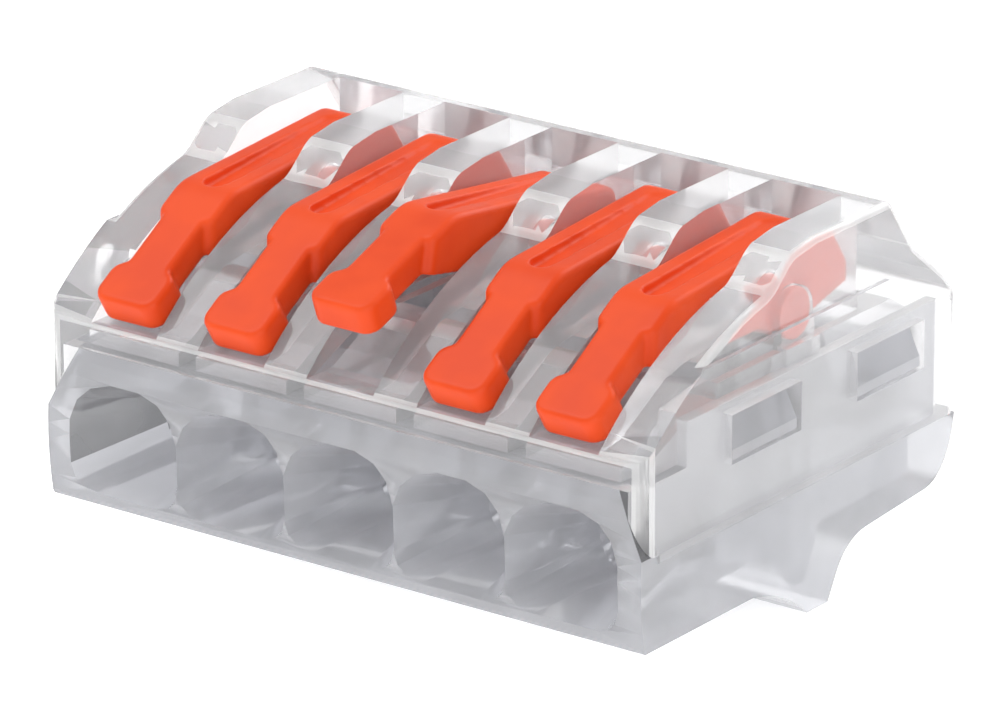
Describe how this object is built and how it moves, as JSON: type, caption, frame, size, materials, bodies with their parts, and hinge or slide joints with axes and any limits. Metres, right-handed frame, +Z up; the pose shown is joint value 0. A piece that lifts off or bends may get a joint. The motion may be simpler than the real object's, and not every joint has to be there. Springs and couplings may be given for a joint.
{
  "type": "lever wire connector",
  "caption": "Compact splicing connector with a clear two-part housing, a row of orange levers over wire mouths, cage springs and a common busbar.",
  "frame": {"origin": "under the middle of the housing, on the surface that it stands on", "axes": "+X along the row of poles, -Y towards the wire-entry side, +Z up"},
  "size_m": [0.0272, 0.0203, 0.0144],
  "materials": {
    "clear_cover": "clear polycarbonate, slightly frosted inside",
    "clear_base": "clear polycarbonate with a grey cast",
    "lever_plastic": "orange moulded plastic, satin",
    "tinned_copper": "tin-plated copper strip",
    "spring_steel": "stainless spring strip"
  },
  "bodies": {
    "housing": {"cover": "clear_cover", "base": "clear_base", "busbar": "tinned_copper", "spring_1": "spring_steel", "spring_2": "spring_steel", "spring_3": "spring_steel", "spring_4": "spring_steel", "spring_5": "spring_steel"},
    "lever_1": {"lever_1": "lever_plastic"},
    "lever_2": {"lever_2": "lever_plastic"},
    "lever_3": {"lever_3": "lever_plastic"},
    "lever_4": {"lever_4": "lever_plastic"},
    "lever_5": {"lever_5": "lever_plastic"}
  },
  "joints": [
    {"name": "lever_1_hinge", "type": "hinge", "parent": "housing", "child": "lever_1", "pos_m": [-0.01, 0.00085, 0.0113], "axis": [-1, 0, 0], "range_deg": [0, 90], "deforming": ["spring_1"]},
    {"name": "lever_2_hinge", "type": "hinge", "parent": "housing", "child": "lever_2", "pos_m": [-0.005, 0.00085, 0.0113], "axis": [-1, 0, 0], "range_deg": [0, 90], "deforming": ["spring_2"]},
    {"name": "lever_3_hinge", "type": "hinge", "parent": "housing", "child": "lever_3", "pos_m": [0, 0.00085, 0.0113], "axis": [-1, 0, 0], "range_deg": [-11, 79], "deforming": ["spring_3"]},
    {"name": "lever_4_hinge", "type": "hinge", "parent": "housing", "child": "lever_4", "pos_m": [0.005, 0.00085, 0.0113], "axis": [-1, 0, 0], "range_deg": [0, 90], "deforming": ["spring_4"]},
    {"name": "lever_5_hinge", "type": "hinge", "parent": "housing", "child": "lever_5", "pos_m": [0.01, 0.00085, 0.0113], "axis": [-1, 0, 0], "range_deg": [0, 90], "deforming": ["spring_5"]}
  ]
}
